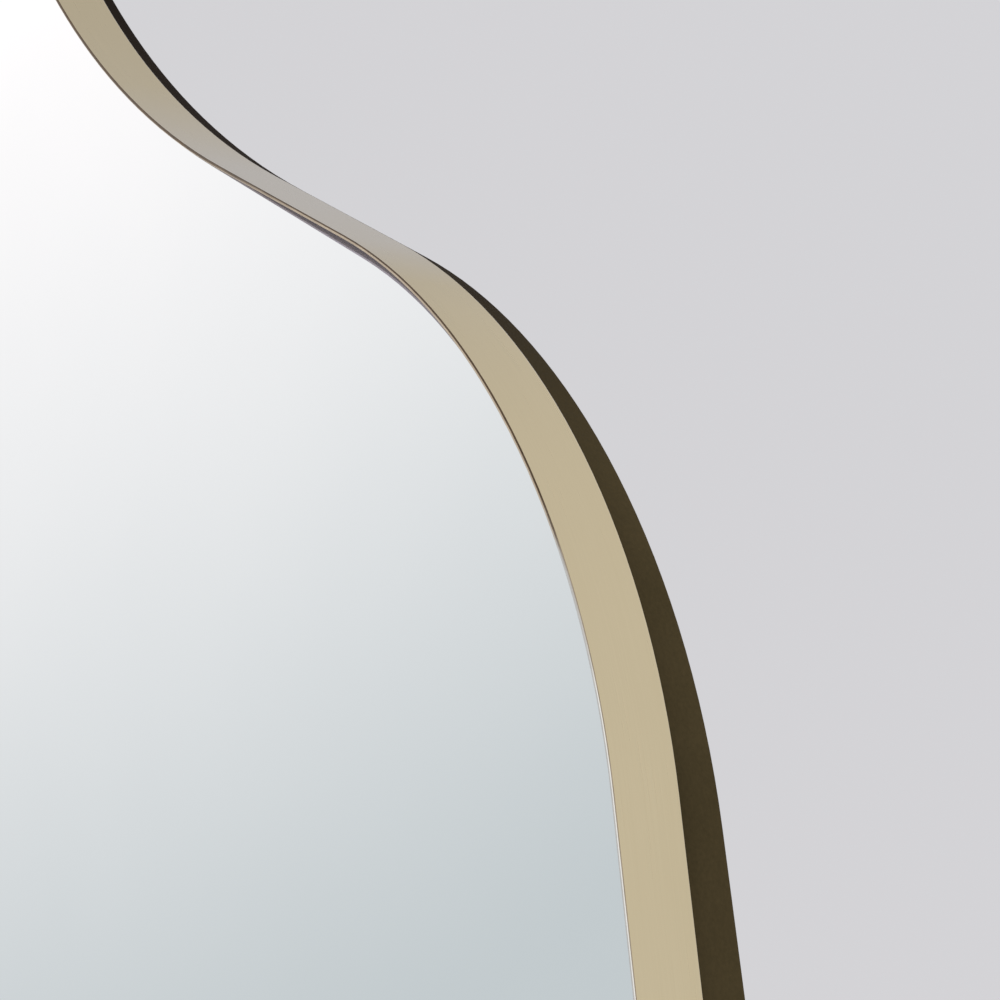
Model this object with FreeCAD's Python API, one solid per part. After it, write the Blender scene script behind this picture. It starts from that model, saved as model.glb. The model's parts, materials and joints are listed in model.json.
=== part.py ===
import FreeCAD, Part
import math
import os

from FreeCAD import Vector

# Wall mirror with a freeform outline, seen from the front: +X right, +Z up, the wall at y = 0
# and the glass facing -Y. All lengths are in millimetres.

# Outline of the band's outer face: a belt round convex lobes and concave waists
WIDTH = 665.0
HEIGHT = 802.0
CROWN_RADIUS = 150.0
SHOULDER_RADIUS = 193.0
HIP_RADIUS = 184.0
FOOT_RADIUS = 150.0
SHOULDER_ACROSS_SHARE = 0.184
SHOULDER_UP_SHARE = -0.12
HIP_UP_SHARE = -0.254
FOOT_ACROSS_SHARE = -0.168
RIGHT_WAIST_RADIUS = 374.0
RIGHT_WAIST_RUN_ABOVE = 46.0
RIGHT_WAIST_RUN_BELOW = 71.0
BASE_WAIST_RADIUS = 220.0
BASE_WAIST_RUN_RIGHT = 70.0
BASE_WAIST_RUN_LEFT = 60.0
LEFT_WAIST_RADIUS = 360.0
LEFT_WAIST_RUN_BELOW = 90.0
LEFT_WAIST_RUN_ABOVE = 70.0

# Layers, from the wall to the front
SPACER_THICKNESS = 18.0
BOARD_THICKNESS = 12.0
TAPE_THICKNESS = 1.0
GLASS_THICKNESS = 5.0
GLASS_RECESS = 2.0

# Frame band and what joins it, with the bond line that holds tabs and splices to the band
BAND_THICKNESS = 1.0
BOND_LINE = 0.2
SPLICE_THICKNESS = 1.2
SPLICE_LENGTH = 40.0
SPLICE_DEPTH = 8.0
TAB_THICKNESS = 1.5
TAB_WIDTH = 20.0
TAB_LEG_DEPTH = 9.0
TAB_FLANGE_LENGTH = 22.0
TAB_SCREW_REACH = 14.0
RIGHT_TAB_COUNT = 5
LEFT_TAB_COUNT = 4
TAB_FIRST_STEP_SHARE = 0.5

# Glass, tape and board: the glass follows the band's inner face but for a tighter shoulder
GLASS_CLEARANCE = 0.35
GLASS_SHOULDER_DEGREES = 24.0
GLASS_SHOULDER_TIGHTENING = 9.0
GLASS_ARRIS = 0.35
TAPE_WIDTH = 25.0
TAPE_MARGIN = 30.0
TAPE_PLACE_SHARES = (-0.33, -0.21, -0.06, 0.09, 0.24, 0.37)
BOARD_CLEARANCE = 0.5
POCKET_CLEARANCE = 0.3

# Spacer frame: its lobes are set in from the band's, its shoulder and its waists are flatter
SPACER_CROWN_INSET = 24.0
SPACER_SHOULDER_INSET = 8.3
SPACER_SHOULDER_DEGREES = 35.0
SPACER_SHOULDER_EASE = 18.0
SPACER_HIP_INSET = 4.0
SPACER_FOOT_INSET = 12.0
SPACER_WAIST_EASE = 50.0
SPACER_RAIL_WIDTH = 40.0
CROSSBAR_HEIGHT = 60.0
CROSSBAR_SCREW_SHARES = (-0.2, 0.2)
RIGHT_RAIL_SCREW_COUNT = 5
LEFT_RAIL_SCREW_COUNT = 4

# Screws
SCREW_CLEARANCE = 0.1
TAB_SCREW_RADIUS = 1.75
TAB_SCREW_LENGTH = 10.0
SPACER_SCREW_RADIUS = 2.0
SPACER_SCREW_HEAD_RADIUS = 4.0
SPACER_SCREW_BITE = 8.0
SPACER_SCREW_SINK = 0.5
HANGER_SCREW_RADIUS = 1.9
HANGER_SCREW_HEAD_RADIUS = 3.8
HANGER_SCREW_HEAD_HEIGHT = 2.2
HANGER_SCREW_HEAD_ROUND = 1.2
HANGER_SCREW_BITE = 10.0

# Strap hangers, measured from the ring's axis; the margins are to the spacer's window
HANGER_MARGINS = {"left": 60.0, "right": 28.0}
HANGER_ABOVE_CROSSBAR = 50.0
STRAP_WIDTH = 18.0
STRAP_THICKNESS = 1.5
STRAP_TAIL = 46.0
STRAP_CORNER = 6.0
STRAP_JOGGLE = 1.0
STRAP_RAMP_START = 3.0
STRAP_RAMP_END = 7.0
STRAP_HOLE_DROPS = {"upper": 14.0, "lower": 38.0}
KNUCKLE_START_DEGREES = -90.0
KNUCKLE_END_DEGREES = 195.0
RING_WIRE_RADIUS = 2.0
RING_FIT_CLEARANCE = 0.08
RING_WIDTH = 36.0
RING_DROP = 26.0
RING_CORNER_RADIUS = 5.0
RING_TOE_RADIUS = 10.0

# Every cut runs this far past the face it opens, and places this close together are one place
OVERRUN = 5.0
SAME_PLACE = 0.001

# A rounded edge takes up at most this share of the face it rounds
ROUNDING_LIMIT_SHARE = 0.9

# Places across the depth, from the wall forwards
SPACER_FRONT = -SPACER_THICKNESS
BOARD_FRONT = SPACER_FRONT - BOARD_THICKNESS
GLASS_BACK = BOARD_FRONT - TAPE_THICKNESS
GLASS_FRONT = GLASS_BACK - GLASS_THICKNESS
BAND_FRONT = GLASS_FRONT - GLASS_RECESS
BAND_DEPTH = SPACER_FRONT - BAND_FRONT

INTO_BOARD = Vector(0, -1, 0)
TO_WALL = Vector(0, 1, 0)
FULL_TURN = 2 * math.pi
UPWARDS = math.pi / 2
DOWNWARDS = -math.pi / 2


# Belt geometry: a circle is (x, z, radius), with a negative radius for a waist outside the belt
def waist_between(before, after, radius, run_before, run_after):
    """Concave circle that joins two lobes, with a straight run to each of them."""
    reach_before = math.hypot(before[2] + radius, run_before)
    reach_after = math.hypot(after[2] + radius, run_after)
    across, up = after[0] - before[0], after[1] - before[1]
    apart = math.hypot(across, up)
    along = (reach_before ** 2 - reach_after ** 2 + apart ** 2) / (2 * apart)
    out = math.sqrt(reach_before ** 2 - along ** 2)
    return (before[0] + (along * across - out * up) / apart,
            before[1] + (along * up + out * across) / apart,
            -radius)


def normal(angle):
    return Vector(math.cos(angle), 0, math.sin(angle))


def tangent_angles(circles):
    """Direction of the outward normal on each run, from a circle to the next one clockwise."""
    angles = []
    for (x, z, radius), (next_x, next_z, next_radius) in zip(circles, circles[1:] + circles[:1]):
        apart = math.hypot(next_x - x, next_z - z)
        heading = math.atan2(next_z - z, next_x - x)
        angles.append(heading + math.acos((radius - next_radius) / apart))
    return angles


def belt_pieces(circles, offset):
    """Arcs (centre, radius, first angle, turn) and runs (start, end, normal's angle), by turns."""
    angles = tangent_angles(circles)
    pieces = []
    for i, (x, z, radius) in enumerate(circles):
        start, end = angles[i - 1], angles[i]
        turn = -((start - end) % FULL_TURN) if radius > 0 else (end - start) % FULL_TURN
        centre = Vector(x, 0, z)
        pieces.append((centre, radius + offset, start, turn))
        next_x, next_z, next_radius = circles[(i + 1) % len(circles)]
        run_end = Vector(next_x, 0, next_z) + normal(end) * (next_radius + offset)
        pieces.append((centre + normal(end) * (radius + offset), run_end, end))
    return pieces


def is_arc(piece):
    return len(piece) == 4


def piece_length(piece):
    return abs(piece[1] * piece[3]) if is_arc(piece) else (piece[1] - piece[0]).Length


def belt_wire(circles, offset):
    edges = []
    for piece in belt_pieces(circles, offset):
        if is_arc(piece):
            centre, radius, start, turn = piece
            points = [centre + normal(start + turn * share) * radius for share in (0, 0.5, 1)]
            edges.append(Part.Arc(*points).toShape())
        else:
            edges.append(Part.LineSegment(piece[0], piece[1]).toShape())
    return Part.Wire(edges)


def belt_place(circles, offset, distance):
    """Point on the belt and its outward normal, a distance clockwise from the first arc's start."""
    pieces = belt_pieces(circles, offset)
    distance %= sum(piece_length(piece) for piece in pieces)
    i = 0
    while distance > piece_length(pieces[i]):
        distance -= piece_length(pieces[i])
        i += 1
    share = distance / piece_length(pieces[i])
    if is_arc(pieces[i]):
        centre, radius, start, turn = pieces[i]
        outward = normal(start + turn * share)
        return centre + outward * radius, outward
    start, end, angle = pieces[i]
    return start + (end - start) * share, normal(angle)


def length_to(circles, offset, circle, angle):
    """Distance along the belt from the first arc's start to a direction on one of its lobes."""
    pieces = belt_pieces(circles, offset)
    first = 2 * circles.index(circle)
    centre, radius, start, turn = pieces[first]
    return sum(piece_length(piece) for piece in pieces[:first]) + radius * ((start - angle) % FULL_TURN)


def slab(circles, offset, front, depth):
    face = Part.Face(belt_wire(circles, offset))
    face.translate(Vector(0, front, 0))
    return face.extrude(Vector(0, depth, 0))


def ring_slab(circles, outside, inside, front, depth):
    return slab(circles, outside, front, depth).cut(slab(circles, inside, front, depth))


# The outlines, clockwise from the crown: lobes with waists between them
def outline(crown, shoulder, hip, foot, waist_ease):
    right_waist = waist_between(crown, shoulder, RIGHT_WAIST_RADIUS + waist_ease,
                                RIGHT_WAIST_RUN_ABOVE, RIGHT_WAIST_RUN_BELOW)
    base_waist = waist_between(hip, foot, BASE_WAIST_RADIUS + waist_ease,
                               BASE_WAIST_RUN_RIGHT, BASE_WAIST_RUN_LEFT)
    left_waist = waist_between(foot, crown, LEFT_WAIST_RADIUS + waist_ease,
                               LEFT_WAIST_RUN_BELOW, LEFT_WAIST_RUN_ABOVE)
    return [crown, right_waist, shoulder, hip, base_waist, foot, left_waist]


def set_in(lobe, inset):
    return (lobe[0], lobe[1], lobe[2] - inset)


def eased(lobe, inset, degrees, ease):
    """A lobe with a radius larger by the ease, set in by the inset where its normal has that direction."""
    back = normal(math.radians(degrees)) * (inset + ease)
    return (lobe[0] - back.x, lobe[1] - back.z, lobe[2] + ease)


CROWN = (CROWN_RADIUS - WIDTH / 2, HEIGHT / 2 - CROWN_RADIUS, CROWN_RADIUS)
SHOULDER = (WIDTH * SHOULDER_ACROSS_SHARE, HEIGHT * SHOULDER_UP_SHARE, SHOULDER_RADIUS)
HIP = (WIDTH / 2 - HIP_RADIUS, HEIGHT * HIP_UP_SHARE, HIP_RADIUS)
FOOT = (WIDTH * FOOT_ACROSS_SHARE, FOOT_RADIUS - HEIGHT / 2, FOOT_RADIUS)
BAND_OUTLINE = outline(CROWN, SHOULDER, HIP, FOOT, 0)

SPACER_CROWN = set_in(CROWN, SPACER_CROWN_INSET)
SPACER_SHOULDER = eased(SHOULDER, SPACER_SHOULDER_INSET, SPACER_SHOULDER_DEGREES, SPACER_SHOULDER_EASE)
SPACER_HIP = set_in(HIP, SPACER_HIP_INSET)
SPACER_FOOT = set_in(FOOT, SPACER_FOOT_INSET)
SPACER_OUTLINE = outline(SPACER_CROWN, SPACER_SHOULDER, SPACER_HIP, SPACER_FOOT, SPACER_WAIST_EASE)

GLASS_INSET = BAND_THICKNESS + GLASS_CLEARANCE
GLASS_SHOULDER = eased(SHOULDER, GLASS_INSET, GLASS_SHOULDER_DEGREES, -GLASS_SHOULDER_TIGHTENING)
GLASS_OUTLINE = [GLASS_SHOULDER if circle == SHOULDER else set_in(circle, GLASS_INSET)
                 for circle in BAND_OUTLINE]

# Offsets from the band's outer face
BAND_INSIDE = -BAND_THICKNESS
LINING_FACE = BAND_INSIDE - BOND_LINE
BOARD_EDGE = LINING_FACE - max(TAB_THICKNESS, SPLICE_THICKNESS) - BOARD_CLEARANCE


# Blocks square to the band at a place on it: width along the band, reach inwards from the place
def block_at(place, outward, width, inward, outside, front, depth):
    along = Vector(outward.z, 0, -outward.x)
    corner = place - along * (width / 2) + outward * outside
    corners = [corner, corner + along * width]
    reach = outward * (inward + outside)
    rectangle = [corners[0], corners[1], corners[1] - reach, corners[0] - reach, corners[0]]
    face = Part.Face(Part.makePolygon(rectangle))
    face.translate(Vector(0, front, 0))
    return face.extrude(Vector(0, depth, 0))


def lining(place, outward, width, thickness, front, depth):
    """Plate bent to the band's inner face, a bond line away from it."""
    ring = ring_slab(BAND_OUTLINE, LINING_FACE, LINING_FACE - thickness, front, depth)
    block = block_at(place, outward, width, thickness + OVERRUN, OVERRUN, front, depth)
    return ring.common(block)


def countersunk_screw(head, shank_radius, head_radius, length, clearance=0.0):
    """Screw from the middle of its head; with a clearance, the hole that it goes in."""
    head_height = head_radius - shank_radius
    cone = Part.makeCone(head_radius + clearance, shank_radius + clearance, head_height, head, INTO_BOARD)
    shank = Part.makeCylinder(shank_radius + clearance, length, head, INTO_BOARD)
    return cone.fuse(shank).removeSplitter()


def pan_head_screw(seat):
    top = seat.y + HANGER_SCREW_HEAD_HEIGHT
    head = Part.makeCylinder(HANGER_SCREW_HEAD_RADIUS, HANGER_SCREW_HEAD_HEIGHT, seat, TO_WALL)
    rim = [edge for edge in head.Edges if abs(edge.BoundBox.YMin - top) < SAME_PLACE]
    rounding = min(HANGER_SCREW_HEAD_ROUND, HANGER_SCREW_HEAD_HEIGHT * ROUNDING_LIMIT_SHARE)
    head = head.makeFillet(rounding, rim)
    shank = Part.makeCylinder(HANGER_SCREW_RADIUS, STRAP_THICKNESS + HANGER_SCREW_BITE, seat, INTO_BOARD)
    return head.fuse(shank).removeSplitter()


# Frame band in two bent strips, parted at the crown's top and the foot's lowest point
def frame_bands():
    ring = ring_slab(BAND_OUTLINE, 0, BAND_INSIDE, BAND_FRONT, BAND_DEPTH)
    beyond = WIDTH + HEIGHT
    parting = [(CROWN[0], beyond), (CROWN[0], CROWN[1]), (FOOT[0], FOOT[1]), (FOOT[0], -beyond),
               (-beyond, -beyond), (-beyond, beyond), (CROWN[0], beyond)]
    left_side = Part.Face(Part.makePolygon([Vector(x, BAND_FRONT, z) for x, z in parting]))
    left_side = left_side.extrude(Vector(0, BAND_DEPTH, 0))
    return {"frame_band_left": ring.common(left_side), "frame_band_right": ring.cut(left_side)}


def splice_plate(lobe, angle):
    outward = normal(angle)
    place = Vector(lobe[0], 0, lobe[1]) + outward * (lobe[2] + LINING_FACE)
    front = SPACER_FRONT - BOARD_THICKNESS / 2 - SPLICE_DEPTH / 2
    return lining(place, outward, SPLICE_LENGTH, SPLICE_THICKNESS, front, SPLICE_DEPTH)


# Places along an outline, clockwise from its crown's top to its foot's lowest point and on
def places_round(circles, crown, foot, offset, right_count, left_count, first_step_share):
    top = length_to(circles, offset, crown, UPWARDS)
    bottom = length_to(circles, offset, foot, DOWNWARDS)
    whole = belt_wire(circles, offset).Length
    spans = ((top, bottom - top, right_count), (bottom, top + whole - bottom, left_count))
    return [belt_place(circles, offset, start + span * (i + first_step_share) / count)
            for start, span, count in spans for i in range(count)]


def tab_places():
    return places_round(BAND_OUTLINE, CROWN, FOOT, LINING_FACE,
                        RIGHT_TAB_COUNT, LEFT_TAB_COUNT, TAB_FIRST_STEP_SHARE)


def flange_block(place, outward, clearance):
    return block_at(place, outward, TAB_WIDTH + 2 * clearance, TAB_FLANGE_LENGTH + clearance, OVERRUN,
                    SPACER_FRONT - TAB_THICKNESS, TAB_THICKNESS)


def tab_screw_heads():
    back = Vector(0, SPACER_FRONT, 0)
    return [place - outward * TAB_SCREW_REACH + back for place, outward in tab_places()]


def tab_screw(head, clearance=0.0):
    head_radius = TAB_SCREW_RADIUS + TAB_THICKNESS
    return countersunk_screw(head, TAB_SCREW_RADIUS, head_radius, TAB_SCREW_LENGTH, clearance)


def frame_tabs():
    """Angle tabs: one leg bent to the band's inner face, one flange let into the board's back."""
    inside = slab(BAND_OUTLINE, LINING_FACE, SPACER_FRONT - TAB_THICKNESS, TAB_THICKNESS)
    tabs = []
    for (place, outward), head in zip(tab_places(), tab_screw_heads()):
        leg = lining(place, outward, TAB_WIDTH, TAB_THICKNESS, SPACER_FRONT - TAB_LEG_DEPTH, TAB_LEG_DEPTH)
        flange = flange_block(place, outward, 0).common(inside)
        tabs.append(leg.fuse(flange).removeSplitter().cut(tab_screw(head, SCREW_CLEARANCE)))
    return tabs


# Glass, tape and board
def mirror_glass():
    glass = slab(GLASS_OUTLINE, 0, GLASS_FRONT, GLASS_THICKNESS)
    front_edges = [edge for edge in glass.Edges if abs(edge.BoundBox.YMax - GLASS_FRONT) < SAME_PLACE]
    return glass.makeChamfer(GLASS_ARRIS, front_edges)


def crossings(circles, offset, start, end):
    """Places where a straight line meets an outline."""
    face = Part.Face(belt_wire(circles, offset))
    line = Part.LineSegment(start, end).toShape()
    return [vertex.Point for vertex in face.common(line).Vertexes]


def tape_strip(share):
    left = WIDTH * share - TAPE_WIDTH / 2
    lows, highs = [], []
    for x in (left, left + TAPE_WIDTH):
        start, end = Vector(x, 0, -HEIGHT), Vector(x, 0, HEIGHT)
        heights = [place.z for place in crossings(GLASS_OUTLINE, -TAPE_MARGIN, start, end)]
        lows.append(min(heights))
        highs.append(max(heights))
    corner = Vector(left, GLASS_BACK, max(lows))
    return Part.makeBox(TAPE_WIDTH, TAPE_THICKNESS, min(highs) - max(lows), corner)


def backing_board():
    board = slab(BAND_OUTLINE, BOARD_EDGE, BOARD_FRONT, BOARD_THICKNESS)
    cuts = [flange_block(place, outward, POCKET_CLEARANCE) for place, outward in tab_places()]
    cuts += [tab_screw(head, SCREW_CLEARANCE) for head in tab_screw_heads()]
    cuts += [spacer_screw(head, SCREW_CLEARANCE) for head in spacer_screw_heads()]
    for side in HANGER_MARGINS:
        for seat in hanger_screw_seats(side):
            mouth = Vector(seat.x, SPACER_FRONT, seat.z)
            cuts.append(Part.makeCylinder(HANGER_SCREW_RADIUS + SCREW_CLEARANCE, HANGER_SCREW_BITE,
                                          mouth, INTO_BOARD))
    for cut in cuts:
        board = board.cut(cut)
    return board


# Spacer frame: one routed board with a rail round its outline and a crossbar
def spacer_screw_heads():
    rail = places_round(SPACER_OUTLINE, SPACER_CROWN, SPACER_FOOT, -SPACER_RAIL_WIDTH / 2,
                        RIGHT_RAIL_SCREW_COUNT, LEFT_RAIL_SCREW_COUNT, 0)
    heads = [place for place, outward in rail]
    heads += [Vector(WIDTH * share, 0, 0) for share in CROSSBAR_SCREW_SHARES]
    return [head - Vector(0, SPACER_SCREW_SINK, 0) for head in heads]


def spacer_screw(head, clearance=0.0):
    length = SPACER_THICKNESS - SPACER_SCREW_SINK + SPACER_SCREW_BITE
    return countersunk_screw(head, SPACER_SCREW_RADIUS, SPACER_SCREW_HEAD_RADIUS, length, clearance)


def spacer_frame():
    whole = slab(SPACER_OUTLINE, 0, SPACER_FRONT, SPACER_THICKNESS)
    windows = slab(SPACER_OUTLINE, -SPACER_RAIL_WIDTH, SPACER_FRONT, SPACER_THICKNESS)
    bar = Part.makeBox(2 * WIDTH, SPACER_THICKNESS, CROSSBAR_HEIGHT,
                       Vector(-WIDTH, SPACER_FRONT, -CROSSBAR_HEIGHT / 2))
    frame = whole.cut(windows.cut(bar))
    for head in spacer_screw_heads():
        sink = Part.makeCylinder(SPACER_SCREW_HEAD_RADIUS + SCREW_CLEARANCE, SPACER_SCREW_SINK + OVERRUN,
                                 head, TO_WALL)
        frame = frame.cut(spacer_screw(head, SCREW_CLEARANCE).fuse(sink))
    return frame


# Strap hangers
KNUCKLE_BORE = RING_WIRE_RADIUS + RING_FIT_CLEARANCE
KNUCKLE_RADIUS = KNUCKLE_BORE + STRAP_THICKNESS
AXIS_OFF_BOARD = STRAP_JOGGLE + KNUCKLE_RADIUS


def hanger_axis(side):
    """Middle of the ring's bar, a margin in from the narrowest place of the window beside it."""
    z = CROSSBAR_HEIGHT / 2 + HANGER_ABOVE_CROSSBAR
    lefts, rights = [], []
    for level in (z - STRAP_TAIL, z, z + RING_DROP):
        start, end = Vector(-WIDTH, 0, level), Vector(WIDTH, 0, level)
        sides = [place.x for place in crossings(SPACER_OUTLINE, -SPACER_RAIL_WIDTH, start, end)]
        lefts.append(min(sides))
        rights.append(max(sides))
    margin = HANGER_MARGINS[side]
    x = max(lefts) + margin if side == "left" else min(rights) - margin
    return Vector(x, SPACER_FRONT + AXIS_OFF_BOARD, z)


def hanger_screw_seats(side):
    axis = hanger_axis(side)
    face = SPACER_FRONT + STRAP_THICKNESS
    return [Vector(axis.x, face, axis.z - drop) for drop in STRAP_HOLE_DROPS.values()]


def hanger_strap(side):
    """Bent strap: a flat tail on the board, a joggle, and a knuckle rolled round the ring's bar."""
    axis = hanger_axis(side)
    left = axis.x - STRAP_WIDTH / 2

    def at(up, off_board):
        return Vector(left, SPACER_FRONT + off_board, axis.z + up)

    def round_axis(radius, degrees):
        angle = math.radians(degrees)
        return at(radius * math.cos(angle), AXIS_OFF_BOARD + radius * math.sin(angle))

    middle = (KNUCKLE_START_DEGREES + KNUCKLE_END_DEGREES) / 2
    sweep = (KNUCKLE_START_DEGREES, middle, KNUCKLE_END_DEGREES)
    outer = [round_axis(KNUCKLE_RADIUS, degrees) for degrees in sweep]
    inner = [round_axis(KNUCKLE_BORE, degrees) for degrees in reversed(sweep)]
    under = [at(-STRAP_TAIL, 0), at(-STRAP_RAMP_END, 0), at(-STRAP_RAMP_START, STRAP_JOGGLE), outer[0]]
    over = [inner[2], at(-STRAP_RAMP_START, STRAP_JOGGLE + STRAP_THICKNESS),
            at(-STRAP_RAMP_END, STRAP_THICKNESS), at(-STRAP_TAIL, STRAP_THICKNESS), under[0]]
    edges = Part.makePolygon(under).Edges
    edges.append(Part.Arc(*outer).toShape())
    edges.append(Part.LineSegment(outer[2], inner[0]).toShape())
    edges.append(Part.Arc(*inner).toShape())
    edges += Part.makePolygon(over).Edges
    strap = Part.Face(Part.Wire(edges)).extrude(Vector(STRAP_WIDTH, 0, 0))
    tail_z = axis.z - STRAP_TAIL
    corners = [edge for edge in strap.Edges if abs(edge.BoundBox.ZMax - tail_z) < SAME_PLACE
               and edge.BoundBox.XLength < SAME_PLACE]
    strap = strap.makeFillet(min(STRAP_CORNER, STRAP_WIDTH / 2 * ROUNDING_LIMIT_SHARE), corners)
    for seat in hanger_screw_seats(side):
        hole = Part.makeCylinder(HANGER_SCREW_RADIUS + SCREW_CLEARANCE, STRAP_THICKNESS + 2 * OVERRUN,
                                 seat + TO_WALL * OVERRUN, INTO_BOARD)
        strap = strap.cut(hole)
    return strap


def hanger_ring(side):
    """Wire bent to a D: a straight bar in the knuckle, two corners and a round toe, hanging down."""
    corner_x = RING_WIDTH / 2 - RING_CORNER_RADIUS
    bends = [(-corner_x, -RING_CORNER_RADIUS, RING_CORNER_RADIUS),
             (corner_x, -RING_CORNER_RADIUS, RING_CORNER_RADIUS),
             (0, RING_TOE_RADIUS - RING_DROP, RING_TOE_RADIUS)]
    path = belt_wire(bends, 0)
    first = path.Edges[0]
    start = first.valueAt(first.FirstParameter)
    heading = first.tangentAt(first.FirstParameter)
    section = Part.Wire(Part.makeCircle(RING_WIRE_RADIUS, start, heading))
    ring = path.makePipeShell([section], True, False)
    ring.translate(hanger_axis(side))
    return ring


# Every node is one STEP file; a node of like fasteners is a group of separate solids
def all_nodes():
    nodes = frame_bands()
    nodes["splice_plate_crown"] = splice_plate(CROWN, UPWARDS)
    nodes["splice_plate_foot"] = splice_plate(FOOT, DOWNWARDS)
    nodes["mirror_glass"] = mirror_glass()
    nodes["backing_board"] = backing_board()
    nodes["spacer_frame"] = spacer_frame()
    for i, share in enumerate(TAPE_PLACE_SHARES, 1):
        nodes["tape_strip_%d" % i] = tape_strip(share)
    for i, tab in enumerate(frame_tabs(), 1):
        nodes["frame_tab_%d" % i] = tab
    nodes["tab_screws"] = Part.makeCompound([tab_screw(head) for head in tab_screw_heads()])
    nodes["spacer_screws"] = Part.makeCompound([spacer_screw(head) for head in spacer_screw_heads()])
    for side in HANGER_MARGINS:
        nodes["hanger_strap_" + side] = hanger_strap(side)
        nodes["hanger_ring_" + side] = hanger_ring(side)
        screws = [pan_head_screw(seat) for seat in hanger_screw_seats(side)]
        nodes["hanger_screws_" + side] = Part.makeCompound(screws)
    return nodes


os.makedirs("parts", exist_ok=True)
for name, shape in all_nodes().items():
    shape.exportStep("parts/%s.step" % name)
    print(name, len(shape.Solids), "solids", shape.isValid(), round(shape.Volume, 1))
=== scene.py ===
import json
import math

import bpy
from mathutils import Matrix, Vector
from mathutils.kdtree import KDTree

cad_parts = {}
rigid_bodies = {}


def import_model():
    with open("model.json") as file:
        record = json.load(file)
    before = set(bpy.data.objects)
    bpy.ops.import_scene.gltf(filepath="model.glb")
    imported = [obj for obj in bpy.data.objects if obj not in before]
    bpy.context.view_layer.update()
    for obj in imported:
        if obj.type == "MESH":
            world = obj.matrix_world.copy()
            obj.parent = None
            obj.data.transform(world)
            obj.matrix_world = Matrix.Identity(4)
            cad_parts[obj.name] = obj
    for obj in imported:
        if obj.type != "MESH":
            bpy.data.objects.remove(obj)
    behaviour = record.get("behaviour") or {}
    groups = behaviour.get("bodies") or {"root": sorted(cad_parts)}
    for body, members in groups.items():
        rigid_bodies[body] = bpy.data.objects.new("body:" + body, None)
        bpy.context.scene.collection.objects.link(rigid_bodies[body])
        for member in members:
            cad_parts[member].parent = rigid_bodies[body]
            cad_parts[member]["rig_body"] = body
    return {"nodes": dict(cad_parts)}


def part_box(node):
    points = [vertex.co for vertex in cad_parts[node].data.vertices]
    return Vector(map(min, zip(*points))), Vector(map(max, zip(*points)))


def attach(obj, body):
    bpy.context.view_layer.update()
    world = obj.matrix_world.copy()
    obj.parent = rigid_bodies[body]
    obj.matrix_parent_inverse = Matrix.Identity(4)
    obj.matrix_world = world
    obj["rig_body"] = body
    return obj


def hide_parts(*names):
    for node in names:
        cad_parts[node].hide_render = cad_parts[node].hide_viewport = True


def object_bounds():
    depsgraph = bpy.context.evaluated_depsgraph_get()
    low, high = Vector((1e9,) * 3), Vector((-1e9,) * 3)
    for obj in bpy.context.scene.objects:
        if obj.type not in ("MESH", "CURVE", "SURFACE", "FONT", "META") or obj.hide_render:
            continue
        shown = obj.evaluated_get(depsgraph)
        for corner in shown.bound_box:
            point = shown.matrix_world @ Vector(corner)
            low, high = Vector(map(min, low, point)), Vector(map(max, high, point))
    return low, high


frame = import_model()
cad_low, cad_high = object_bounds()

# Backing board: the piece that everything is fixed to, 12 mm medium-density fibreboard routed to the
# outline, with pockets for the tabs and pilot holes. It is left bare, so that its fibres show.

weld_distance = 1e-6
flat_limit = math.radians(0.2)
arris_limit = math.radians(40)
arris_steps = 2
smooth_limit = math.radians(18)


def only(piece):
    """Selects one piece alone and makes it the active one."""
    bpy.ops.object.select_all(action="DESELECT")
    piece.select_set(True)
    bpy.context.view_layer.objects.active = piece


def finished_copy(node, name, arris, *materials, arris_slot=-1, shaping=None):
    """Welded copy of a node, with flat faces made whole, shaped, and its corners broken by the arris."""
    piece = bpy.data.objects.new(name, frame["nodes"][node].data.copy())
    bpy.context.scene.collection.objects.link(piece)
    piece.data.name = name
    piece.data.materials.clear()
    for material in materials:
        piece.data.materials.append(material)
    only(piece)
    bpy.ops.object.mode_set(mode="EDIT")
    bpy.ops.mesh.customdata_custom_splitnormals_clear()
    bpy.ops.mesh.select_all(action="SELECT")
    bpy.ops.mesh.remove_doubles(threshold=weld_distance)
    bpy.ops.mesh.dissolve_limited(angle_limit=flat_limit)
    bpy.ops.object.mode_set(mode="OBJECT")
    if shaping:
        shaping(piece)
    if arris:
        bevel = piece.modifiers.new("arris", "BEVEL")
        bevel.width = arris
        bevel.segments = arris_steps
        bevel.limit_method = "ANGLE"
        bevel.angle_limit = arris_limit
        bevel.material = arris_slot
        bevel.harden_normals = False
        bpy.ops.object.modifier_apply(modifier=bevel.name)
    bpy.ops.object.shade_smooth_by_angle(angle=smooth_limit)
    return piece


def stand_for(piece, node):
    """The piece stands for the node, on the node's body, and the node is hidden."""
    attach(piece, frame["nodes"][node]["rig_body"])
    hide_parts(node)


def new_material(name):
    """Node material, with its nodes and its links."""
    material = bpy.data.materials.new(name)
    material.use_nodes = True
    return material, material.node_tree.nodes, material.node_tree.links


def object_noise(nodes, links, stretch, detail=4.0, distortion=0.0):
    """Noise on Object coordinates, with so many waves to a metre along each axis."""
    place = nodes.new("ShaderNodeTexCoord")
    mapping = nodes.new("ShaderNodeMapping")
    mapping.inputs["Scale"].default_value = stretch
    noise = nodes.new("ShaderNodeTexNoise")
    noise.inputs["Scale"].default_value = 1.0
    noise.inputs["Detail"].default_value = detail
    noise.inputs["Distortion"].default_value = distortion
    links.new(place.outputs["Object"], mapping.inputs["Vector"])
    links.new(mapping.outputs["Vector"], noise.inputs["Vector"])
    return noise.outputs["Fac"]


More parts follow.
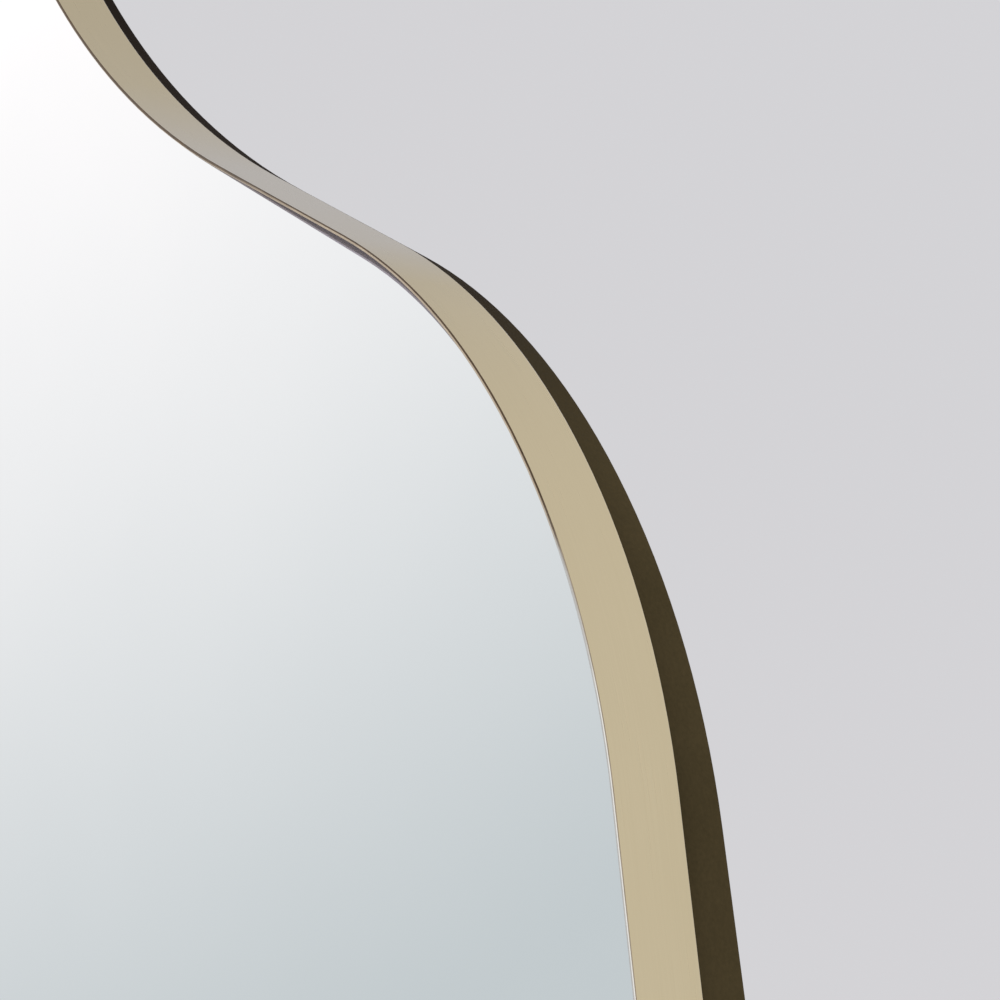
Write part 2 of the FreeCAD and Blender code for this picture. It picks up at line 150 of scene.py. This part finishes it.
def blended(nodes, links, first, second, second_share):
    """Two noise values in one, with the share that the second one has."""
    blend = nodes.new("ShaderNodeMix")
    blend.inputs["Factor"].default_value = second_share
    links.new(first, blend.inputs["A"])
    links.new(second, blend.inputs["B"])
    return blend.outputs["Result"]


def ramp(nodes, links, value, *stops):
    """Colour ramp of (place, colour) stops, driven by a value."""
    colours = nodes.new("ShaderNodeValToRGB")
    elements = colours.color_ramp.elements
    while len(elements) < len(stops):
        elements.new(0.5)
    for element, (place, colour) in zip(elements, stops):
        element.position = place
        element.color = (*colour, 1)
    links.new(value, colours.inputs["Fac"])
    return colours.outputs["Color"]


noise_low, noise_high = 0.3, 0.7


def spread(nodes, links, value, low, high):
    """A noise value spread from its middle range to the range from low to high."""
    spreader = nodes.new("ShaderNodeMapRange")
    spreader.inputs["From Min"].default_value = noise_low
    spreader.inputs["From Max"].default_value = noise_high
    spreader.inputs["To Min"].default_value = low
    spreader.inputs["To Max"].default_value = high
    links.new(value, spreader.inputs["Value"])
    return spreader.outputs["Result"]


def bump(nodes, links, value, height, shader, strength=1.0):
    """Relief of some height on a shader's surface, from a noise value."""
    bumps = nodes.new("ShaderNodeBump")
    bumps.inputs["Strength"].default_value = strength
    bumps.inputs["Distance"].default_value = height
    links.new(value, bumps.inputs["Height"])
    links.new(bumps.outputs["Normal"], shader.inputs["Normal"])


def fibreboard():
    material, nodes, links = new_material("bare_fibreboard")
    shader = nodes["Principled BSDF"]
    fibres = object_noise(nodes, links, (1500, 1500, 1500), detail=8.0, distortion=0.3)
    clouds = object_noise(nodes, links, (45, 45, 45))
    both = blended(nodes, links, fibres, clouds, second_share=0.3)
    colour = ramp(nodes, links, both, (0.32, (0.25, 0.155, 0.083)), (0.52, (0.4, 0.272, 0.158)),
                  (0.7, (0.5, 0.365, 0.23)))
    links.new(colour, shader.inputs["Base Color"])
    links.new(spread(nodes, links, fibres, 0.78, 0.92), shader.inputs["Roughness"])
    bump(nodes, links, fibres, 0.00006, shader)
    return material


board_arris = 0.0003
stand_for(finished_copy("backing_board", "fibre_board", board_arris, fibreboard()), "backing_board")

# Mirror tape: strips of white closed-cell foam with adhesive on both faces, stuck to the board from
# top to bottom, so that damp can run out between them. They carry the glass.


def foam():
    material, nodes, links = new_material("white_foam_tape")
    shader = nodes["Principled BSDF"]
    cells = object_noise(nodes, links, (2600, 2600, 2600), detail=3.0)
    colour = ramp(nodes, links, cells, (0.35, (0.6, 0.6, 0.57)), (0.65, (0.84, 0.84, 0.82)))
    links.new(colour, shader.inputs["Base Color"])
    links.new(spread(nodes, links, cells, 0.6, 0.9), shader.inputs["Roughness"])
    bump(nodes, links, cells, 0.0001, shader)
    return material


foam_tape = foam()
tape_arris = 0.0002
for node in sorted(name for name in frame["nodes"] if name.startswith("tape_strip")):
    stand_for(finished_copy(node, node.replace("tape_strip", "foam_tape"), tape_arris, foam_tape), node)

# Mirror glass: 5 mm float glass, silvered behind and sealed with grey back paint. Its edge is ground and
# dim purple grey, with a faint painted glow in place of light that comes through the glass, and its front
# corner is broken to a narrow arris.

square_on = 0.99
shortest_chord = 0.003
least_turn, most_turn = math.radians(0.5), math.radians(15)
like_step = 0.67


def outline_edges(mesh):
    """Edges along the outline: level in depth, with a wall on at least one side."""
    walled = {key for face in mesh.polygons if abs(face.normal.y) < square_on for key in face.edge_keys}
    corners = mesh.vertices
    return [edge for edge in mesh.edges if edge.key in walled
            and abs(corners[edge.vertices[0]].co.y - corners[edge.vertices[1]].co.y) < weld_distance]


def rise(start, end, before):
    """Way from the middle of a chord out to its arc, told by the like chord before it, if there is one."""
    chord, step = end - start, start - before
    turn = chord.angle(step)
    is_like = like_step < step.length / chord.length < 1 / like_step
    if chord.length < shortest_chord or not is_like or not least_turn < turn < most_turn:
        return None
    outwards = (start - (before + end) / 2).normalized()
    return outwards * chord.length / 2 * math.tan(turn / 4)


def rounder(piece):
    """Halves each chord of the outline's arcs and moves its middle out to the arc, within the CAD box."""
    mesh = piece.data
    outline = outline_edges(mesh)
    beside = {}
    for edge in outline:
        for near, far in (edge.vertices, reversed(edge.vertices)):
            beside.setdefault(near, []).append(far)
    for part in (mesh.vertices, mesh.edges, mesh.polygons):
        part.foreach_set("select", [False] * len(part))
    moved = {}
    for edge in outline:
        rises = []
        for near, far in (edge.vertices, reversed(edge.vertices)):
            for before in beside[near]:
                if before != far and len(beside[near]) == 2:
                    rises.append(rise(*(mesh.vertices[i].co for i in (near, far, before))))
        rises = [way for way in rises if way]
        if rises:
            edge.select = True
            middle = (mesh.vertices[edge.vertices[0]].co + mesh.vertices[edge.vertices[1]].co) / 2
            moved[middle.freeze()] = middle + sum(rises, Vector()) / len(rises)
    places = list(moved)
    finder = KDTree(len(places))
    for i, middle in enumerate(places):
        finder.insert(middle, i)
    finder.balance()
    only(piece)
    bpy.ops.object.mode_set(mode="EDIT")
    bpy.ops.mesh.select_mode(type="EDGE")
    bpy.ops.mesh.subdivide(number_cuts=1)
    bpy.ops.mesh.select_mode(type="VERT")
    bpy.ops.object.mode_set(mode="OBJECT")
    for corner in mesh.vertices:
        middle, i, distance = finder.find(corner.co)
        if distance < weld_distance:
            for axis in range(3):
                corner.co[axis] = min(max(moved[places[i]][axis], cad_low[axis]), cad_high[axis])


def two_tones(nodes, links, value, dark, pale):
    """Colour that goes from dark to pale over a noise value's middle range."""
    return ramp(nodes, links, value, (noise_low, dark), (noise_high, pale))


def silvering():
    material, nodes, links = new_material("silvered_front")
    shader = nodes["Principled BSDF"]
    shader.inputs["Metallic"].default_value = 1.0
    haze = object_noise(nodes, links, (9, 9, 9), detail=5.0)
    colour = two_tones(nodes, links, haze, (0.945, 0.955, 0.955), (0.965, 0.972, 0.97))
    links.new(colour, shader.inputs["Base Color"])
    links.new(spread(nodes, links, haze, 0.004, 0.016), shader.inputs["Roughness"])
    return material


def ground_edge_and_glow():
    material, nodes, links = new_material("ground_glass_edge_and_glow")
    shader = nodes["Principled BSDF"]
    grinding = object_noise(nodes, links, (300, 3000, 300), detail=5.0)
    colour = two_tones(nodes, links, grinding, (0.34, 0.315, 0.385), (0.43, 0.405, 0.485))
    links.new(colour, shader.inputs["Base Color"])
    # Painted glow: the ground edge gives off a faint light of its own.
    shader.inputs["Emission Color"].default_value = (0.385, 0.36, 0.435, 1)
    shader.inputs["Emission Strength"].default_value = 0.16
    links.new(spread(nodes, links, grinding, 0.25, 0.5), shader.inputs["Roughness"])
    bump(nodes, links, grinding, 0.00002, shader)
    return material


def back_paint():
    material, nodes, links = new_material("grey_back_paint")
    shader = nodes["Principled BSDF"]
    curtain = object_noise(nodes, links, (120, 120, 700), detail=5.0)
    colour = two_tones(nodes, links, curtain, (0.2, 0.215, 0.22), (0.27, 0.285, 0.29))
    links.new(colour, shader.inputs["Base Color"])
    links.new(spread(nodes, links, curtain, 0.45, 0.65), shader.inputs["Roughness"])
    return material


silver_slot, ground_slot, paint_slot = range(3)
glass_materials = silvering(), ground_edge_and_glow(), back_paint()
glass = finished_copy("mirror_glass", "silvered_glass", 0, *glass_materials, shaping=rounder)
stand_for(glass, "mirror_glass")
for face in glass.data.polygons:
    if face.normal.y < -square_on:
        face.material_index = silver_slot
    elif face.normal.y > square_on:
        face.material_index = paint_slot
    else:
        face.material_index = ground_slot

# Frame band: two strips of 20 by 1 mm brass-toned metal, bent on edge round the outline and brushed
# along their length under satin lacquer. The sheared front edge is bare: at the hip its front corner
# carries a painted highlight beside painted grey shade, from the shoulder upwards the edge is beige with a
# brown outer corner, and towards the crown nearly the whole edge is brown.


def share_between(nodes, links, value, none_at, all_at, smooth=False):
    """From none to all as a value goes from one place to another."""
    share = nodes.new("ShaderNodeMapRange")
    share.interpolation_type = "SMOOTHSTEP" if smooth else "LINEAR"
    share.inputs["From Min"].default_value = none_at
    share.inputs["From Max"].default_value = all_at
    links.new(value, share.inputs["Value"])
    return share.outputs["Result"]


def toned(nodes, links, share, first, second):
    """Colour that goes from the first to the second with a share. Each is a colour or a node's output."""
    mix = nodes.new("ShaderNodeMix")
    mix.data_type = "RGBA"
    links.new(share, mix.inputs["Factor"])
    for side, colour in (("A", first), ("B", second)):
        if isinstance(colour, tuple):
            mix.inputs[side].default_value = (*colour, 1)
        else:
            links.new(colour, mix.inputs[side])
    return mix.outputs["Result"]


grazing_limit = 0.7, 0.9
painted_sheen_tone = (0.84, 0.81, 0.77)


def brushed_gold():
    material, nodes, links = new_material("brushed_champagne_gold")
    shader = nodes["Principled BSDF"]
    shader.inputs["Metallic"].default_value = 1.0
    shader.inputs["Coat Weight"].default_value = 0.5
    shader.inputs["Coat Roughness"].default_value = 0.3
    strokes = object_noise(nodes, links, (22, 2600, 22), detail=6.0)
    clouds = object_noise(nodes, links, (14, 40, 14), detail=3.0)
    both = blended(nodes, links, strokes, clouds, second_share=0.4)
    gold = two_tones(nodes, links, both, (0.8, 0.68, 0.425), (0.85, 0.73, 0.47))
    # Painted sheen: the gold's colour pales towards grazing angles.
    slant = nodes.new("ShaderNodeLayerWeight")
    painted_sheen_share = share_between(nodes, links, slant.outputs["Facing"], *grazing_limit)
    links.new(toned(nodes, links, painted_sheen_share, gold, painted_sheen_tone), shader.inputs["Base Color"])
    links.new(spread(nodes, links, strokes, 0.27, 0.35), shader.inputs["Roughness"])
    bump(nodes, links, strokes, 0.000002, shader, strength=0.3)
    return material


def patchy_share(nodes, links, axis, none_at, all_at, shift):
    """From none to all between two places along an axis, shifted to and fro so that the limit is patchy."""
    place = nodes.new("ShaderNodeTexCoord")
    axes = nodes.new("ShaderNodeSeparateXYZ")
    links.new(place.outputs["Object"], axes.inputs["Vector"])
    patches = spread(nodes, links, object_noise(nodes, links, (60, 60, 60)), -shift, shift)
    shifted = nodes.new("ShaderNodeMath")
    links.new(patches, shifted.inputs[0])
    links.new(axes.outputs[axis], shifted.inputs[1])
    return share_between(nodes, links, shifted.outputs["Value"], none_at, all_at, smooth=True)


# Heights from which the hip's tones give way to the shoulder's, and places along X for the crown's.
brown_limit = -0.016, 0.008
highlight_limit = -0.05, 0.01
limit_shift = 0.006
crown_limit = 0.2, 0.13
crown_shift = 0.02


def sheared_edge(name, hip_tones, shoulder_tones, crown_tones, hip_limit=brown_limit, metallic=0.1):
    """Bare edge metal in two tones of grain, with other tones at the hip, the shoulder and the crown."""
    material, nodes, links = new_material(name)
    shader = nodes["Principled BSDF"]
    shader.inputs["Metallic"].default_value = metallic
    grain = object_noise(nodes, links, (180, 180, 180), detail=6.0)
    hip, shoulder, crown = (two_tones(nodes, links, grain, dark, pale)
                            for dark, pale in (hip_tones, shoulder_tones, crown_tones))
    above_hip = patchy_share(nodes, links, "Z", *hip_limit, limit_shift)
    near_crown = patchy_share(nodes, links, "X", *crown_limit, crown_shift)
    below_crown = toned(nodes, links, above_hip, hip, shoulder)
    links.new(toned(nodes, links, near_crown, below_crown, crown), shader.inputs["Base Color"])
    links.new(spread(nodes, links, grain, 0.3, 0.5), shader.inputs["Roughness"])
    bump(nodes, links, grain, 0.00001, shader, strength=0.5)
    return material


# The front corner's whitish tones at the hip are a painted highlight; the grey at the hip on the flat edge
# and inner corner is painted shade.
painted_highlight_tones = (0.96, 0.93, 0.87), (0.98, 0.96, 0.92)
grey = (0.56, 0.55, 0.53), (0.64, 0.63, 0.6)
beige = (0.54, 0.43, 0.31), (0.66, 0.55, 0.41)
tan = (0.4, 0.32, 0.23), (0.52, 0.42, 0.31)
brown = (0.07, 0.04, 0.018), (0.13, 0.08, 0.042)
gold_slot, outer_slot, front_slot, flat_slot, inner_slot = range(5)
band_materials = (brushed_gold(), sheared_edge("outer_corner", tan, brown, brown, metallic=0.6),
                  sheared_edge("front_corner", painted_highlight_tones, brown, brown, hip_limit=highlight_limit),
                  sheared_edge("sheared_edge", grey, beige, brown),
                  sheared_edge("inner_corner", grey, beige, beige))
band_arris = 0.00034
edge_depth = 0.0006
mostly_front = 0.7
for side in ("left", "right"):
    node = "frame_band_" + side
    band = finished_copy(node, "gold_band_" + side, band_arris, *band_materials,
                         arris_slot=outer_slot, shaping=rounder)
    stand_for(band, node)
    band_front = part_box(node)[0].y
    for face in band.data.polygons:
        from_glass = face.center - glass.closest_point_on_mesh(face.center)[1]
        faces_outwards = face.normal.x * from_glass.x + face.normal.z * from_glass.z > 0
        if face.center.y > band_front + edge_depth:
            face.material_index = gold_slot
        elif face.normal.y < -square_on:
            face.material_index = flat_slot
        elif not faces_outwards:
            face.material_index = inner_slot
        elif face.normal.y < -mostly_front:
            face.material_index = front_slot

# Splice plates and angle tabs: offcuts of bare cold-rolled steel, bonded to the band's inner face.
# The tabs' flanges are let into the board's back and each takes one countersunk screw.


def bare_steel():
    material, nodes, links = new_material("bare_cold_rolled_steel")
    shader = nodes["Principled BSDF"]
    shader.inputs["Metallic"].default_value = 1.0
    rolling = object_noise(nodes, links, (500, 500, 60), detail=6.0)
    colour = two_tones(nodes, links, rolling, (0.38, 0.38, 0.385), (0.58, 0.575, 0.56))
    links.new(colour, shader.inputs["Base Color"])
    links.new(spread(nodes, links, rolling, 0.32, 0.5), shader.inputs["Roughness"])
    bump(nodes, links, rolling, 0.00001, shader, strength=0.6)
    return material


cold_rolled = bare_steel()
plate_arris = 0.00015
for node in sorted(name for name in frame["nodes"] if name.startswith(("splice_plate", "frame_tab"))):
    stand_for(finished_copy(node, "steel_" + node.split("_", 1)[1], plate_arris, cold_rolled), node)

# Spacer frame: one routed 18 mm fibreboard rail with a crossbar, sprayed with dark brown matt paint,
# with painted shade that darkens it towards the crown. It is screwed to the board's back and set in from
# the band, so that it reads as a shadow.

# Heights over which the rail's paint gives way to painted shade towards the crown.
painted_shade_limit = 0.0, 0.095


def dark_paint_and_shade():
    material, nodes, links = new_material("dark_matt_paint_and_shade")
    shader = nodes["Principled BSDF"]
    grain = object_noise(nodes, links, (900, 900, 900), detail=5.0)
    clouds = object_noise(nodes, links, (30, 30, 30))
    both = blended(nodes, links, grain, clouds, second_share=0.5)
    # Painted shade: the dark brown paint turns nearly black towards the crown.
    crown_shade = patchy_share(nodes, links, "Z", *painted_shade_limit, limit_shift)
    paint_colour = ramp(nodes, links, both, (0.35, (0.061, 0.0455, 0.0195)), (0.65, (0.081, 0.06, 0.0275)))
    painted_shade_colour = ramp(nodes, links, both, (0.35, (0.013, 0.008, 0.005)), (0.65, (0.021, 0.014, 0.009)))
    links.new(toned(nodes, links, crown_shade, paint_colour, painted_shade_colour), shader.inputs["Base Color"])
    shader.inputs["Specular IOR Level"].default_value = 0.05
    links.new(spread(nodes, links, grain, 0.6, 0.75), shader.inputs["Roughness"])
    bump(nodes, links, grain, 0.00005, shader)
    return material


spacer_arris = 0.0004
spacer = finished_copy("spacer_frame", "spacer_rail", spacer_arris, dark_paint_and_shade(), shaping=rounder)
stand_for(spacer, "spacer_frame")

# Strap hangers: zinc-plated steel straps with a rolled knuckle, screwed to the board's back, and rings
# of 4 mm wire bent to a D that swing in the knuckles.


def zinc_plate():
    material, nodes, links = new_material("zinc_plate")
    shader = nodes["Principled BSDF"]
    shader.inputs["Metallic"].default_value = 1.0
    spangle = object_noise(nodes, links, (260, 260, 260), detail=5.0, distortion=0.6)
    colour = ramp(nodes, links, spangle, (0.3, (0.56, 0.58, 0.62)), (0.55, (0.68, 0.69, 0.7)),
                  (0.75, (0.74, 0.73, 0.69)))
    links.new(colour, shader.inputs["Base Color"])
    links.new(spread(nodes, links, spangle, 0.2, 0.36), shader.inputs["Roughness"])
    bump(nodes, links, spangle, 0.00001, shader, strength=0.5)
    return material


zinc = zinc_plate()
strap_arris = 0.0002
for side in ("left", "right"):
    strap = finished_copy("hanger_strap_" + side, "strap_" + side, strap_arris, zinc)
    stand_for(strap, "hanger_strap_" + side)
    ring = finished_copy("hanger_ring_" + side, "wire_ring_" + side, 0, zinc)
    stand_for(ring, "hanger_ring_" + side)

# Screws: zinc-plated steel with a cross recess and a rolled thread. Countersunk ones hold the tabs and
# the spacer frame, pan-head ones the straps. Each is turned from a profile, as on a lathe.

start_size = 0.001
screw_weld = 1e-7
body_steps, thread_steps = 32, 20
ridge_sides = 3
recess_taper = 0.45
recess_flat_limit = math.radians(0.1)
core_share, root_share = 0.74, 0.94
point_share = 1.6
ridge_share = 0.28
reach_share = 2.5
next_turn = math.radians(37)
thread_smooth_limit = math.radians(30)


def drawn_profile(name, points):
    """Chain of edges through points given as radius and height on the axis."""
    bpy.ops.object.select_all(action="DESELECT")
    bpy.ops.mesh.primitive_plane_add(size=start_size)
    piece = bpy.context.object
    piece.name = name
    bpy.ops.object.mode_set(mode="EDIT")
    bpy.ops.mesh.select_all(action="SELECT")
    bpy.ops.mesh.merge(type="CENTER")
    bpy.ops.transform.translate(value=(*points[0], 0))
    for (radius, height), (next_radius, next_height) in zip(points, points[1:]):
        step = (next_radius - radius, next_height - height, 0)
        bpy.ops.mesh.extrude_vertices_move(TRANSFORM_OT_translate={"value": step})
    bpy.ops.mesh.select_all(action="SELECT")
    bpy.ops.mesh.remove_doubles(threshold=screw_weld)
    bpy.ops.object.mode_set(mode="OBJECT")
    return piece


def turned(piece, steps, pitch=0.0, turns=1):
    """The profile swept round the axis, to a closed form or to a helix with closed ends."""
    turning = piece.modifiers.new("turning", "SCREW")
    turning.axis = "Y"
    turning.steps = steps
    turning.render_steps = steps
    turning.iterations = turns
    turning.screw_offset = -pitch
    only(piece)
    bpy.ops.object.modifier_apply(modifier=turning.name)
    bpy.ops.object.mode_set(mode="EDIT")
    bpy.ops.mesh.select_all(action="SELECT")
    bpy.ops.mesh.remove_doubles(threshold=screw_weld)
    bpy.ops.mesh.fill_holes(sides=ridge_sides)
    bpy.ops.mesh.normals_make_consistent(inside=False)
    bpy.ops.object.mode_set(mode="OBJECT")


def recessed(piece, reach, width, depth):
    """A cross recess with tapered wings, cut into the head's top."""
    half, above = width / 2, depth / 4
    wing = [(reach, -half), (reach, half), (half, half)]
    corners = []
    for quarter in range(4):
        corners += wing
        wing = [(-y, x) for x, y in wing]
    cross = drawn_profile("cross", corners + corners[:1])
    bpy.ops.object.mode_set(mode="EDIT")
    bpy.ops.mesh.select_all(action="SELECT")
    bpy.ops.mesh.edge_face_add()
    bpy.ops.transform.rotate(value=math.pi / 2, orient_axis="X", center_override=(0, 0, 0))
    bpy.ops.transform.translate(value=(0, above, 0))
    bpy.ops.mesh.extrude_region_move(TRANSFORM_OT_translate={"value": (0, -above - depth, 0)})
    bpy.ops.mesh.select_all(action="SELECT")
    bpy.ops.mesh.normals_make_consistent(inside=False)
    bpy.ops.object.mode_set(mode="OBJECT")
    for corner in cross.data.vertices:
        if corner.co.y < 0:
            corner.co.x *= recess_taper
            corner.co.z *= recess_taper
    cut = piece.modifiers.new("recess", "BOOLEAN")
    cut.operation = "DIFFERENCE"
    cut.object = cross
    only(piece)
    bpy.ops.object.mode_set(mode="EDIT")
    bpy.ops.mesh.select_all(action="SELECT")
    bpy.ops.mesh.dissolve_limited(angle_limit=recess_flat_limit)
    bpy.ops.object.mode_set(mode="OBJECT")
    bpy.ops.object.modifier_apply(modifier=cut.name)
    bpy.data.objects.remove(cross, do_unlink=True)


def screw_tops(node, reach):
    """Middle of each head's top in a group of like screws, from the places of the group's corners."""
    groups = []
    for corner in frame["nodes"][node].data.vertices:
        for group in groups:
            if math.hypot(corner.co.x - group[0].x, corner.co.z - group[0].z) < reach:
                group.append(corner.co)
                break
        else:
            groups.append([corner.co])
    return [((min(co.x for co in group) + max(co.x for co in group)) / 2, max(co.y for co in group),
             (min(co.z for co in group) + max(co.z for co in group)) / 2) for group in groups]


def screw_set(node, head, radius, length, plain, pitch, recess):
    """Screws of one kind joined to one piece, each turned a little further than the one before."""
    core = radius * core_share
    ramp_end = plain + radius - core
    point = radius * point_share
    shank = [(radius, -plain), (core, -ramp_end), (core, point - length), (0, -length)]
    body = drawn_profile(node + "_set", head + shank)
    turned(body, body_steps)
    recessed(body, *recess)
    root, half = core * root_share, pitch * ridge_share
    ridge = [(root, half), (radius, 0), (root, -half), (root, half)]
    thread = drawn_profile("thread", [(x, y - ramp_end) for x, y in ridge])
    turned(thread, thread_steps, pitch, int((length - point - ramp_end) / pitch))
    only(body)
    thread.select_set(True)
    bpy.ops.object.join()
    tops = screw_tops(node, reach_share * max(across for across, height in head))
    copies = [body]
    for top in tops[1:]:
        again = bpy.data.objects.new("again", body.data.copy())
        bpy.context.scene.collection.objects.link(again)
        copies.append(again)
    only(body)
    for i, (again, top) in enumerate(zip(copies, tops)):
        again.location = top
        again.rotation_euler.y = next_turn * i
        again.select_set(True)
    bpy.ops.object.transform_apply(location=True, rotation=True, scale=True)
    bpy.ops.object.join()
    bpy.ops.object.shade_smooth_by_angle(angle=thread_smooth_limit)
    body.data.materials.append(zinc)
    stand_for(body, node)


tab_head = [(0, 0), (0.00315, 0), (0.00318, -0.00007), (0.00175, -0.0015)]
screw_set("tab_screws", tab_head, radius=0.00175, length=0.01, plain=0.0024, pitch=0.0015,
          recess=(0.0016, 0.0007, 0.0014))
spacer_head = [(0, 0), (0.0039, 0), (0.00393, -0.00007), (0.002, -0.002)]
screw_set("spacer_screws", spacer_head, radius=0.002, length=0.0255, plain=0.009, pitch=0.0018,
          recess=(0.0021, 0.0009, 0.0018))
pan_head = [(0, 0), (0.0026, 0), (0.0032, -0.00016), (0.00362, -0.0006), (0.0038, -0.0012),
            (0.0038, -0.0022), (0.0019, -0.0022)]
for side in ("left", "right"):
    screw_set("hanger_screws_" + side, pan_head, radius=0.0019, length=0.0137, plain=0.0045, pitch=0.0016,
              recess=(0.002, 0.0009, 0.0015))

# Stage: a pale floor disc under the lowest point, to take the mirror's shadow. It fades out into the
# background towards its rim.

floor_radius = 1.2
floor_sides = 96
floor_gap = 0.0005
floor_place = (0, 0, cad_low.z - floor_gap)
clear_share, full_share = 0.98, 0.5
bpy.ops.object.select_all(action="DESELECT")
bpy.ops.mesh.primitive_circle_add(vertices=floor_sides, radius=floor_radius, fill_type="NGON",
                                  location=floor_place)
floor = bpy.context.object
floor.name = "pale_floor"
material, nodes, links = new_material("pale_floor")
shader = nodes["Principled BSDF"]
shader.inputs["Base Color"].default_value = (0.7, 0.695, 0.715, 1)
shader.inputs["Roughness"].default_value = 0.8
from_middle = nodes.new("ShaderNodeVectorMath")
from_middle.operation = "LENGTH"
links.new(nodes.new("ShaderNodeTexCoord").outputs["Object"], from_middle.inputs[0])
fade = share_between(nodes, links, from_middle.outputs["Value"], floor_radius * clear_share,
                     floor_radius * full_share, smooth=True)
links.new(fade, shader.inputs["Alpha"])
floor.data.materials.append(material)

# Studio round the mirror: pale grey behind it, darker high up. In front, on the side that the glass
# mirrors, it is white at the upper left and falls off to blue grey.

behind_colour = (0.657, 0.652, 0.674)
above_colour = (0.505, 0.498, 0.508)
above_far_colour = (0.735, 0.73, 0.76)
above_from, above_to = 0.34, 0.46
above_near, above_far = 0.61, 0.65
front_dim_colour = (0.572, 0.619, 0.64)
front_bright_colour = (1.085, 1.056, 1.062)
front_slope = (-0.8, 0.0, 0.75)
front_dim_at, front_bright_at = 0.5, 0.93
front_falloff = 1.28
side_blend = 0.2
ambient_colour = (1.0, 0.99, 0.985)
ambient_strength = 0.6

world = bpy.data.worlds.new("studio")
bpy.context.scene.world = world
world.use_nodes = True
nodes, links = world.node_tree.nodes, world.node_tree.links
direction = nodes.new("ShaderNodeTexCoord").outputs["Generated"]
sides = nodes.new("ShaderNodeSeparateXYZ")
links.new(direction, sides.inputs["Vector"])
slope = nodes.new("ShaderNodeVectorMath")
slope.operation = "DOT_PRODUCT"
slope.inputs[1].default_value = front_slope
links.new(direction, slope.inputs[0])
front_share = nodes.new("ShaderNodeMath")
front_share.operation = "POWER"
front_share.inputs[1].default_value = front_falloff
up_slope = share_between(nodes, links, slope.outputs["Value"], front_dim_at, front_bright_at)
links.new(up_slope, front_share.inputs[0])
front = toned(nodes, links, front_share.outputs["Value"], front_dim_colour, front_bright_colour)
far_share = share_between(nodes, links, sides.outputs["Y"], above_near, above_far)
above = toned(nodes, links, far_share, above_colour, above_far_colour)
above_share = share_between(nodes, links, sides.outputs["Z"], above_from, above_to, smooth=True)
behind = toned(nodes, links, above_share, behind_colour, above)
behind_share = share_between(nodes, links, sides.outputs["Y"], -side_blend, side_blend, smooth=True)
shown = nodes["Background"]
links.new(toned(nodes, links, behind_share, front, behind), shown.inputs["Color"])
ambient = nodes.new("ShaderNodeBackground")
ambient.inputs["Color"].default_value = (*ambient_colour, 1)
ambient.inputs["Strength"].default_value = ambient_strength
rays = nodes.new("ShaderNodeLightPath")
seen = rays.outputs["Is Camera Ray"]
for kind in ("Is Glossy Ray", "Is Transmission Ray"):
    either = nodes.new("ShaderNodeMath")
    either.operation = "MAXIMUM"
    links.new(seen, either.inputs[0])
    links.new(rays.outputs[kind], either.inputs[1])
    seen = either.outputs["Value"]
mixed = nodes.new("ShaderNodeMixShader")
links.new(seen, mixed.inputs["Fac"])
links.new(ambient.outputs["Background"], mixed.inputs[1])
links.new(shown.outputs["Background"], mixed.inputs[2])
links.new(mixed.outputs["Shader"], nodes["World Output"].inputs["Surface"])

# Soft lamps: a large key from the front right, and a fill from behind for the back's pieces. They
# aren't mirrored, so that the glass shows the studio alone.

lamps = ("key", (1.5, -2.0, 1.4), 1.6, 26.0), ("rear_fill", (-1.0, 2.2, 1.5), 1.8, 18.0)
for name, place, size, power in lamps:
    lamp = bpy.data.lights.new(name, "AREA")
    lamp.size = size
    lamp.energy = power
    stand = bpy.data.objects.new(name, lamp)
    stand.location = place
    stand.rotation_mode = "QUATERNION"
    stand.rotation_quaternion = (-Vector(place)).to_track_quat("-Z", "Y")
    stand.visible_glossy = False
    bpy.context.scene.collection.objects.link(stand)

# Camera at the photograph's place: to the right of the mirror and in front of it, close to it and
# looking a little up along the band.

turn, tilt = math.radians(51.07), math.radians(4.68)
camera_place = (0.6413, -0.3353, -0.0364)
camera_data = bpy.data.cameras.new("photo_camera")
camera_data.lens = 72.0
camera_data.sensor_width = 36.0
camera_data.clip_start = 0.01
camera = bpy.data.objects.new("photo_camera", camera_data)
camera.location = camera_place
camera.rotation_mode = "QUATERNION"
ahead = Vector((-math.sin(turn) * math.cos(tilt), math.cos(turn) * math.cos(tilt), math.sin(tilt)))
camera.rotation_quaternion = ahead.to_track_quat("-Z", "Y")
bpy.context.scene.collection.objects.link(camera)
bpy.context.scene.camera = camera
bpy.context.scene.view_settings.view_transform = "Standard"
